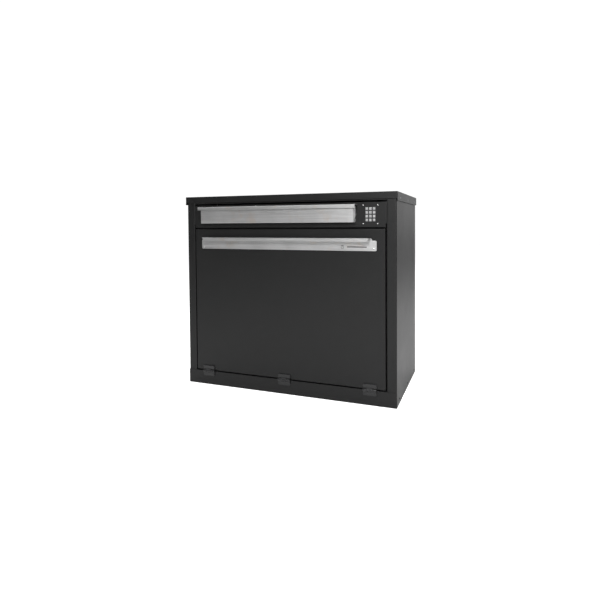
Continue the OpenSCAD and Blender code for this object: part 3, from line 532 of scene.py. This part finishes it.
def cabinet_fasteners():
    head_x, y, z = span("cap_rivets")
    cap_x = span("top_cap")[0][1]
    bm = bmesh.new()
    for side in (1, -1):
        for at in evenly(y[0] + 3, y[1] - 3, 3):
            rivet(bm, (side * cap_x, at, middle(z)), (side, 0, 0), 3.0, head_x[1] - cap_x, 1.6, 7.0, 2.6)
    piece(bm, "cap_rivets_domed", "cabinet", ["cap_rivets"], ZINC)

    head_x, y, z = span("base_screws")
    bm = bmesh.new()
    for side in (1, -1):
        for at in evenly(y[0] + 4, y[1] - 4, 3):
            screw(bm, (side * (head_x[1] - 2), at, middle(z)), (side, 0, 0), 4.0, 2.0, 2.0, 10.0)
    piece(bm, "base_screws_headed", "cabinet", ["base_screws"], BLACK_SCREW)

    x, y, z = span("back_rivets")
    rear = span("right_side_panel")[1][1]
    bm = bmesh.new()
    for side in (1, -1):
        for at in evenly(z[0] + 3, z[1] - 3, 4):
            rivet(bm, (side * (x[1] - 3), rear, at), (0, 1, 0), 3.0, y[1] - rear, 1.6, 4.0, 2.6)
    piece(bm, "back_rivets_domed", "cabinet", ["back_rivets"], SATIN)


# ---- Door ----

def door_skin():
    x, y, z = span("door_skin")
    bm = bmesh.new()
    verts = block(bm, x, y, z)
    bm.normal_update()
    bmesh.ops.delete(bm, geom=[f for f in faces_of(verts) if f.normal.y > 0.5], context="FACES")
    thicken(bm, set(), -Y, 2.5, SHEET)
    piece(bm, "door_outer_folded", "door", ["door_skin"], COAT)


def door_pan():
    """Inner pan with three pressed panels between its ribs."""
    x, y, z = span("door_inner_pan")
    bm = bmesh.new()
    panels = [((-372, -142), (z[0] + 56, z[1] - 118)), ((-112, 112), (z[0] + 56, z[1] - 118)),
              ((142, 372), (z[0] + 56, z[1] - 118))]
    before = set(bm.verts)
    corners = [(x[0], z[0]), (x[0], z[1]), (x[1], z[1]), (x[1], z[0])]
    bm.faces.new([bm.verts.new((u, y[1], v)) for u, v in corners])
    for point, way in [((u, 0, 0), X) for p in panels for u in p[0]] + [((0, 0, v), Z) for v in panels[0][1]]:
        made = added_since(bm, before)
        bmesh.ops.bisect_plane(bm, geom=made + edges_of(made) + faces_of(made), dist=0.001,
                               plane_co=point, plane_no=way)
    bm.normal_update()
    pressed = []
    for f in bm.faces:
        c = f.calc_center_median()
        if any(p[0][0] < c.x < p[0][1] and p[1][0] < c.z < p[1][1] for p in panels):
            pressed.append(f)
    bmesh.ops.inset_individual(bm, faces=pressed, thickness=9.0, depth=-5.0, use_even_offset=True)
    bm.normal_update()
    steps = [e for e in bm.edges if len(e.link_faces) == 2 and e.calc_face_angle(0) > math.radians(12)]
    eased(bm, steps, 3.0, 3)
    if sum(f.normal.y for f in bm.faces) < 0:
        bmesh.ops.reverse_faces(bm, faces=bm.faces)
    bmesh.ops.solidify(bm, geom=bm.faces[:], thickness=1.2)
    piece(bm, "door_pan_pressed", "door", ["door_inner_pan"], COAT)


def door_seal():
    """Four strips of soft seal, each with a rounded back."""
    x, y, z = span("door_seal")
    width, cut = 12.0, 0.2
    bm = bmesh.new()
    strips = [((x[0], x[0] + width), z), ((x[1] - width, x[1]), z),
              ((x[0] + width + cut, x[1] - width - cut), (z[0], z[0] + width)),
              ((x[0] + width + cut, x[1] - width - cut), (z[1] - width, z[1]))]
    for sx, sz in strips:
        verts = block(bm, sx, y, sz)
        long_x = sx[1] - sx[0] > sz[1] - sz[0]
        way = X if long_x else Z
        back = [e for e in edges_of(verts) if all(v.co.y > middle(y) for v in e.verts)
                and abs((e.verts[0].co - e.verts[1].co).normalized().dot(way)) > 0.99]
        eased(bm, back, 4.0, 5)
    piece(bm, "door_seal_strips", "door", ["door_seal"], RUBBER)


def door_handle():
    """Plate, web and lip folded from one sheet. The plate's corners are cut down outside its shoulders."""
    x, y, z = span("door_handle")
    rear = span("door_skin")[1][0]
    web_x, slant, rise, lip, mitre = x[1] - 24, 7.0, 10.0, 14.5, 8.5
    outline = [(x[0], z[0]), (x[1], z[0]), (x[1], z[1] - rise), (web_x + slant, z[1] - rise), (web_x, z[1]),
               (-web_x, z[1]), (-web_x - slant, z[1] - rise), (x[0], z[1] - rise)]
    bm = bmesh.new()
    bm.faces.new([bm.verts.new((u, rear, v)) for u, v in reversed(outline)])
    bm.normal_update()
    top = [e for e in bm.edges if all(abs(v.co.z - z[1]) < 0.01 for v in e.verts)]
    web = bmesh.ops.extrude_edge_only(bm, edges=top)["geom"]
    front = [g for g in web if isinstance(g, bmesh.types.BMVert)]
    bmesh.ops.translate(bm, vec=(0, y[0] - rear, 0), verts=front)
    fold = [e for e in bm.edges if all(v in front for v in e.verts)]
    fold_back(bm, fold, (0, 0, -lip))
    for v in bm.verts:
        if abs(v.co.z - (z[1] - lip)) < 0.01 and abs(abs(v.co.x) - web_x) < 0.01:
            v.co.x -= math.copysign(mitre, v.co.x)
    bmesh.ops.recalc_face_normals(bm, faces=bm.faces)
    bm.normal_update()
    plate_face = max(bm.faces, key=lambda f: f.calc_area())
    if plate_face.normal.y < 0:
        bmesh.ops.reverse_faces(bm, faces=bm.faces)
    corners = [v for v in bm.verts if abs(abs(v.co.x) - x[1]) < 0.01]
    bmesh.ops.bevel(bm, geom=corners, offset=5.0, segments=5, profile=0.5, affect="VERTICES", material=-1)
    folds = [e for e in bm.edges if len(e.link_faces) == 2 and e.calc_face_angle(0) > math.radians(50)]
    eased(bm, folds, 2.2, 4)
    bmesh.ops.solidify(bm, geom=bm.faces[:], thickness=SHEET)
    piece(bm, "handle_folded", "door", ["door_handle"], STEEL)

    hx, hy, hz = span("handle_rivets")
    bm = bmesh.new()
    for side in (1, -1):
        rivet(bm, (side * (hx[1] - 3.2), rear - SHEET, middle(hz)), (0, -1, 0), 3.2,
              rear - SHEET - hy[0], 2.0, 4.0, 3.0)
    piece(bm, "handle_rivets_domed", "door", ["handle_rivets"], BRIGHT)


def handle_mark():
    """A plain parcel outline and a rule, etched on the handle plate."""
    front = span("door_skin")[1][0] - SHEET
    bm = bmesh.new()
    depth = (front - 0.12, front - 0.01)
    cx, cz, w, h = 272.0, 651.5, 5.4, 7.0
    line = 1.3
    for side in (-1, 1):
        plate(bm, (cx - w, cx + w), depth, sorted((cz + side * h, cz + side * (h - line))), 0.03)
        upright = sorted((cx + side * w, cx + side * (w - line)))
        plate(bm, upright, depth, (cz - h + line, cz + h - line), 0.03)
    plate(bm, (cx - 1.4, cx + 1.4), depth, (cz + 1.5, cz + h - line), 0.03)
    plate(bm, (292, 377), depth, (cz - 2.2, cz + 2.2), 0.03, 1.4)
    piece(bm, "handle_mark", "door", [], ETCH)


# ---- Hinges ----

def hinge_centres():
    x = span("hinge_pins")[0]
    return evenly(x[0] + 29, x[1] - 29, 3)


def hinge_line():
    y, z = span("hinge_pins")[1:]
    return middle(y), middle(z)


def knuckle(bm, x, radius, bore):
    """One barrel of a hinge with eased ends and a bore for the pin."""
    y, z = hinge_line()
    length = x[1] - x[0]
    profile = [(bore, 0), (radius - 0.8, 0), (radius, 0.8), (radius, length - 0.8), (radius - 0.8, length),
               (bore, length), (bore, 0)]
    turned(bm, profile, (x[0], y, z), X, 32)


def leaf(bm, centre, side):
    """Leaf of a hinge with its two studs. side is 1 above the hinge line and -1 below it."""
    face = span("door_skin")[1][0]
    z = hinge_line()[1]
    near, far = z + side * 6.75, z + side * 24
    plate(bm, (centre - 29, centre + 29), (face - 4.5, face), (min(near, far), max(near, far)), 1.1, 5.0)
    for x in (centre - 18, centre + 18):
        ridges = []
        for i in range(6):
            ridges += [(2.95, i * 1.0), (2.6, i * 1.0 + 0.5)]
        turned(bm, [(0, 0), *ridges, (2.6, 7.0), (0, 7.0)], (x, face, z + side * 15.4), Y)


def hinges():
    y, z = hinge_line()
    face = span("door_skin")[1][0]
    door, base, pins = bmesh.new(), bmesh.new(), bmesh.new()
    for c in hinge_centres():
        leaf(door, c, 1)
        knuckle(door, (c - 12, c + 12), 5.5, 2.56)
        plate(door, (c - 12, c + 12), (face - 8.0, face - 0.2), (z + 2.6, z + 8.4), 0.8)
        leaf(base, c, -1)
        for ends in ((c - 29, c - 12.3), (c + 12.3, c + 29)):
            knuckle(base, ends, 5.5, 2.54)
            plate(base, ends, (face - 8.0, face - 0.2), (z - 8.4, z - 2.6), 0.8)
        turned(pins, [(0, 0), (1.9, 0), (2.5, 0.5), (2.5, 57.5), (1.9, 58), (0, 58)], (c - 29, y, z), X)
    piece(door, "hinge_leaves_on_door", "door", ["hinge_door_leaves"], SATIN)
    piece(base, "hinge_leaves_on_plinth", "cabinet", ["hinge_base_leaves"], SATIN)
    piece(pins, "hinge_pins_turned", "cabinet", ["hinge_pins"], STEEL_ROD)


# ---- Mail flap ----

def flap():
    x, y, z = span("flap_face")
    bm = bmesh.new()
    folded(bm, [(y[1], z[1]), (y[0], z[1]), (y[0], z[0]), (y[0] + 12, z[0])], x, "X", -Y, 2.2)
    piece(bm, "flap_folded", "flap", ["flap_face"], STEEL)

    x, y, z = span("flap_lip")
    low = span("flap_lip_front")[2][0]
    bm = bmesh.new()
    folded(bm, [(y[1], z[1]), (y[0], z[1]), (y[0], low)], x, "X", -Y, 2.2)
    piece(bm, "flap_lip_folded", "flap", ["flap_lip", "flap_lip_front"], STEEL)

    sx, sy, sz = span("flap_lip_screws")
    bm = bmesh.new()
    for at in (sx[0] + 4, sx[1] - 4):
        screw(bm, (at, middle(sy), z[1]), (0, 0, 1), 4.0, sz[1] - z[1], 2.0, 2.0)
    piece(bm, "flap_lip_screw_heads", "flap", ["flap_lip_screws"], BRIGHT)


def flap_cheeks():
    """At each end a flange behind the face, and inside it the sector and boss that turn on the rod, both in a
    lighter steel whose brightness is painted light.
    """
    x, y, z = span("flap_cheeks")
    pivot_y, pivot_z = middle(span("flap_rod")[1]), middle(span("flap_rod")[2])
    low, top = span("flap_face")[2]
    radius, sheet_x = z[1] - pivot_z, SHEET / 2
    flange, sector = bmesh.new(), bmesh.new()
    for end, way in ((x[0], 1), (x[1], -1)):
        outer = sorted((end, end + way * sheet_x))
        plate(flange, outer, (y[0], pivot_y), (low + SHEET, top - SHEET), 0.4)
        before = set(sector.verts)
        turned(sector, [(0, 0), (radius, 0), (radius, sheet_x), (0, sheet_x)],
               (min(end + way * sheet_x, end + way * SHEET), pivot_y, pivot_z), X, 72)
        keep_above = Vector((0, -1, 1)).normalized()
        for point, normal in (((0, pivot_y - 5, pivot_z), -Y), ((0, pivot_y, pivot_z), -keep_above)):
            made = added_since(sector, before)
            cut = bmesh.ops.bisect_plane(sector, geom=made + edges_of(made) + faces_of(made), dist=0.001,
                                         plane_co=point, plane_no=normal, clear_outer=True)
            rim = [g for g in cut["geom_cut"] if isinstance(g, bmesh.types.BMEdge)]
            bmesh.ops.holes_fill(sector, edges=rim, sides=0)
        turned(sector, [(3.1, 0), (9.5, 0), (9.5, SHEET), (3.1, SHEET), (3.1, 0)],
               (min(end, end + way * SHEET), pivot_y, pivot_z), X, 32)
    # Flanges and sectors get painted light: a lighter, part-diffuse steel standing in for light from the
    # right.
    piece(flange, "flap_end_flanges", "flap", ["flap_cheeks"], STEEL_PAINTED_LIGHT)
    piece(sector, "flap_sectors", "flap", ["flap_cheeks"], STEEL_PAINTED_LIGHT)


def flap_rod():
    x, y, z = span("flap_rod")
    bm = bmesh.new()
    length = x[1] - x[0]
    turned(bm, [(0, 0), (2.4, 0), (3, 0.6), (3, length - 0.6), (2.4, length), (0, length)],
           (x[0], middle(y), middle(z)), X)
    piece(bm, "flap_rod_turned", "cabinet", ["flap_rod"], STEEL_ROD)


def coil(bm, start, finish, y, z, radius, wire, turns):
    """A closed coil of round wire wound about the line y, z."""
    before = set(bm.verts)
    ring = bmesh.ops.create_circle(bm, cap_ends=False, segments=8, radius=wire)["verts"]
    turn = Matrix.Rotation(math.pi / 2, 4, "X")
    bmesh.ops.transform(bm, matrix=Matrix.Translation((start, y, z + radius)) @ turn, verts=ring)
    steps = 16 * turns
    bmesh.ops.spin(bm, geom=ring + edges_of(ring), cent=(start, y, z), axis=(1, 0, 0),
                   dvec=((finish - start) / steps, 0, 0), angle=2 * math.pi * turns, steps=steps,
                   use_merge=False, use_duplicate=False)
    free = [e for e in edges_of(added_since(bm, before)) if len(e.link_faces) == 1]
    bmesh.ops.holes_fill(bm, edges=free, sides=0)
    bmesh.ops.recalc_face_normals(bm, faces=faces_of(added_since(bm, before)))


def flap_springs():
    x = span("flap_springs")[0]
    y, z = middle(span("flap_rod")[1]), middle(span("flap_rod")[2])
    front = span("flap_face")[1][0]
    rear = span("fascia_panel")[1][0]
    bm = bmesh.new()
    for first, last in ((x[0], x[0] + 18), (x[1], x[1] - 18)):
        step = 1 if last > first else -1
        coil(bm, first + step * 0.8, last - step * 0.8, y, z, 4.4, 0.8, 8)
        turned(bm, [(0, 0), (0.8, 0), (0.8, y - front - 3), (0, y - front - 3)],
               (first + step * 0.8, front + 3, z + 4.4), Y, 8)
        turned(bm, [(0, 0), (0.8, 0), (0.8, rear - y), (0, rear - y)], (last - step * 0.8, y, z + 4.4), Y, 8)
    piece(bm, "flap_springs_wound", "cabinet", ["flap_springs"], STEEL_ROD)


# ---- Keypad ----

KEYS = ["1", "2", "3", "4", "5", "6", "7", "8", "9", "star", "0", "hash"]
GLYPHS = {"star": "*", "hash": "#"}
KEY_FLANGE = 1.3


def glyph(text, height):
    """The outline of one key's digit as a mesh standing upright, centred, facing forwards."""
    curve = bpy.data.curves.new("digit", "FONT")
    curve.body = text
    curve.size = 1.0
    curve.resolution_u = 3
    holder = bpy.data.objects.new("digit", curve)
    bpy.context.scene.collection.objects.link(holder)
    mesh = bpy.data.meshes.new_from_object(holder.evaluated_get(bpy.context.evaluated_depsgraph_get()))
    bpy.data.objects.remove(holder)
    bpy.data.curves.remove(curve)
    bm = bmesh.new()
    bm.from_mesh(mesh)
    bpy.data.meshes.remove(mesh)
    low = Vector([min(v.co[i] for v in bm.verts) for i in range(3)])
    high = Vector([max(v.co[i] for v in bm.verts) for i in range(3)])
    size = height / max(high.y - low.y, high.x - low.x)
    bmesh.ops.translate(bm, vec=-(low + high) / 2, verts=bm.verts)
    bmesh.ops.scale(bm, vec=(size, size, size), verts=bm.verts)
    bmesh.ops.rotate(bm, cent=(0, 0, 0), matrix=Matrix.Rotation(math.pi / 2, 3, "X"), verts=bm.verts)
    out = bpy.data.meshes.new("digit")
    bm.to_mesh(out)
    bm.free()
    return out


def key(name):
    x, y, z = span("key_" + name)
    cx, cz = middle(x), middle(z)
    flange = (x[1] - x[0]) / 2
    half = flange - KEY_FLANGE
    bm = bmesh.new()
    cap = plate(bm, (cx - half, cx + half), (y[0], y[0] + 6.0), (cz - half, cz + half), 0.7, 1.2)
    front = max((f for f in faces_of(cap) if f.normal.y < -0.9), key=lambda f: f.calc_area())
    bmesh.ops.inset_individual(bm, faces=[front], thickness=0.7, depth=-0.12, use_even_offset=True)
    plate(bm, (cx - flange, cx + flange), (y[0] + 6.0, y[0] + 6.8), (cz - flange, cz + flange), 0.2, 0.8)
    turned(bm, [(0, 0), (2, 0), (2, y[1] - y[0] - 7.2), (1.6, y[1] - y[0] - 6.8), (0, y[1] - y[0] - 6.8)],
           (cx, y[0] + 6.8, cz), Y)
    digit = glyph(GLYPHS.get(name, name), 3.4)
    count = len(bm.faces)
    before = set(bm.verts)
    bm.from_mesh(digit)
    bpy.data.meshes.remove(digit)
    made = added_since(bm, before)
    bmesh.ops.translate(bm, vec=(cx, y[0] + 0.08, cz), verts=made)
    bm.faces.ensure_lookup_table()
    for f in bm.faces[count:]:
        f.material_index = 1
    piece(bm, "key_cap_" + name, "key_" + name + "_body", ["key_" + name], KEY, DIGIT)


def keypad():
    x, y, z = span("keypad_bezel")
    keys = [(span("key_" + k)[0], span("key_" + k)[2]) for k in KEYS]
    hole = (keys[0][0][1] - keys[0][0][0]) / 2 - KEY_FLANGE + 0.5
    holes = [((middle(kx) - hole, middle(kx) + hole), (middle(kz) - hole, middle(kz) + hole))
             for kx, kz in keys]
    outline = ((x[0] + 5, x[1] - 5), (z[0] + 5, z[1] - 5))
    bm = bmesh.new()
    cut_face(bm, *outline, y[0], holes)
    rim = [e for e in bm.edges if len(e.link_faces) == 1
           and any(all(abs(v.co[i] - edge) < 0.01 for v in e.verts)
                   for i, pair in ((0, outline[0]), (2, outline[1])) for edge in pair)]
    fold_back(bm, rim, (0, y[1] - y[0] - 1.5, 0))
    thicken(bm, set(), -Y, 0.5, 1.0)
    for sx in ((x[0], x[0] + 6), (x[1] - 6, x[1])):
        plate(bm, sx, (y[1] - 1.5, y[1]), z, 0.2)
    for sz in ((z[0], z[0] + 6), (z[1] - 6, z[1])):
        plate(bm, (x[0] + 6, x[1] - 6), (y[1] - 1.5, y[1]), sz, 0.2)
    piece(bm, "keypad_bezel_pierced", "cabinet", ["keypad_bezel"], BEZEL)
    for name in KEYS:
        key(name)

    sx, sy, sz = span("keypad_screws")
    face = span("fascia_panel")[1][0]
    bm = bmesh.new()
    for cx in (sx[0] + 2.8, sx[1] - 2.8):
        for cz in (sz[0] + 2.8, sz[1] - 2.8):
            screw(bm, (cx, face, cz), (0, -1, 0), 2.8, face - sy[0], 1.5, 12.0)
    piece(bm, "keypad_screw_heads", "cabinet", ["keypad_screws"], BRIGHT)


# ---- Carried-over nodes ----

CARRIED = {
    "back_panel": COAT, "mail_chute": COAT, "flap_brackets": SATIN, "keypad_housing": PLASTIC,
    "keypad_board": BOARD, "key_switches": ZINC, "lock_case": SATIN, "lock_cover": SATIN,
    "control_box": PLASTIC, "control_box_cover": PLASTIC, "battery_cells": ZINC, "control_leads": RUBBER,
    "base_hinge_nuts": ZINC, "stay_studs": BRIGHT, "door_hinge_nuts": ZINC,
    "stay_left": SATIN, "stay_right": SATIN,
    "striker": SATIN, "door_screws": ZINC, "lock_bolt": BRIGHT,
}


def carried_over():
    for name, finish in CARRIED.items():
        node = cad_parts[name]
        for holder in node.material_slots:
            holder.material = finish.material


# ---- Studio ----

WALL_LEFT, WALL_MID, WALL_FRONT, WALL_RIGHT, WALL_REAR = 0.08, 0.15, 0.50, 0.02, 0.85
OVERHEAD, FRONT_BOX = 165, 105
FRONT_AT = (1.1, -3.1, 2.1)
FLOOR_TONE, FLOOR_GLOW = 0.8, 0.7

def camera():
    """Front three-quarter view from the right, level with the mail flap."""
    azimuth, pitch, roll = 0.3184, 0.0272, -0.004652
    forward = Vector((-math.sin(azimuth) * math.cos(pitch), math.cos(azimuth) * math.cos(pitch),
                      -math.sin(pitch)))
    level = Vector((math.cos(azimuth), math.sin(azimuth), 0))
    above = level.cross(forward)
    right = math.cos(roll) * level + math.sin(roll) * above
    up = -math.sin(roll) * level + math.cos(roll) * above
    lens = bpy.data.cameras.new("studio_camera")
    lens.lens, lens.sensor_width = 25.32, 36
    lens.shift_x, lens.shift_y = -0.0778, -0.1055
    lens.clip_start, lens.clip_end = 0.05, 200
    eye = bpy.data.objects.new("studio_camera", lens)
    turn = Matrix((right, up, -forward)).transposed().to_4x4()
    eye.matrix_world = Matrix.Translation((0.8369, -1.8925, 0.7411)) @ turn
    bpy.context.scene.collection.objects.link(eye)
    bpy.context.scene.camera = eye


def studio_floor():
    bm = bmesh.new()
    bmesh.ops.create_grid(bm, x_segments=4, y_segments=4, size=40)
    mesh = bpy.data.meshes.new("studio_floor")
    bm.to_mesh(mesh)
    bm.free()
    ground = bpy.data.objects.new("studio_floor", mesh)
    bpy.context.scene.collection.objects.link(ground)
    pale = Finish("studio_paper", None)
    pale.set(Base_Color=pale.blended(pale.noise(3, 2.0), grey(FLOOR_TONE), grey(FLOOR_TONE + 0.03)),
             Roughness=0.8, Emission_Color=pale.blended(pale.seen(), grey(0.0), grey(1.0)),
             Emission_Strength=FLOOR_GLOW)
    mesh.materials.append(pale.material)


def soft_box(name, at, towards, size, power):
    light = bpy.data.lights.new(name, "AREA")
    light.shape = "RECTANGLE"
    light.size, light.size_y = size
    light.energy = power
    lamp = bpy.data.objects.new(name, light)
    turn = (Vector(towards) - Vector(at)).to_track_quat("-Z", "Y").to_matrix().to_4x4()
    lamp.matrix_world = Matrix.Translation(at) @ turn
    bpy.context.scene.collection.objects.link(lamp)


def studio_light():
    """White walls to the eye. The light they throw falls off to the left and stops at the right."""
    world = bpy.data.worlds.new("studio")
    bpy.context.scene.world = world
    walls = Nodes(world)
    way = walls.add("ShaderNodeTexCoord").outputs["Generated"]
    across = walls.ranged(walls.part_of(way, 0), -1.0, 1.0, 0.0, 1.0)
    thrown = walls.add("ShaderNodeValToRGB", {"stops": [
        (0.10, grey(WALL_LEFT)), (0.36, grey(WALL_MID)),
        (0.62, grey(WALL_FRONT)), (0.82, grey(WALL_RIGHT))]}, {0: across})
    behind = walls.ranged(walls.part_of(way, 1), 0.2, 0.6, 0.0, 1.0)
    both = walls.blended(behind, thrown.outputs[0], grey(WALL_REAR))
    colour = walls.blended(walls.seen(), both, grey(1.05))
    back = walls.add("ShaderNodeBackground", {}, {"Color": colour})
    walls.add("ShaderNodeOutputWorld", {}, {"Surface": back.outputs[0]})
    soft_box("overhead", (0.3, 0.6, 3.4), (0.2, 0.3, 0), (5.0, 5.0), OVERHEAD)
    soft_box("front_box", FRONT_AT, (0.1, -0.23, 0.5), (2.0, 1.2), FRONT_BOX)


def build():
    side_panels()
    top_cap()
    plinth()
    header_rail()
    mullion()
    fascia()
    floor_tray()
    cabinet_fasteners()
    door_skin()
    door_pan()
    door_seal()
    door_handle()
    handle_mark()
    hinges()
    flap()
    flap_cheeks()
    flap_rod()
    flap_springs()
    keypad()
    carried_over()


bpy.context.scene.view_settings.view_transform = "Standard"
camera()
build()
studio_floor()
studio_light()
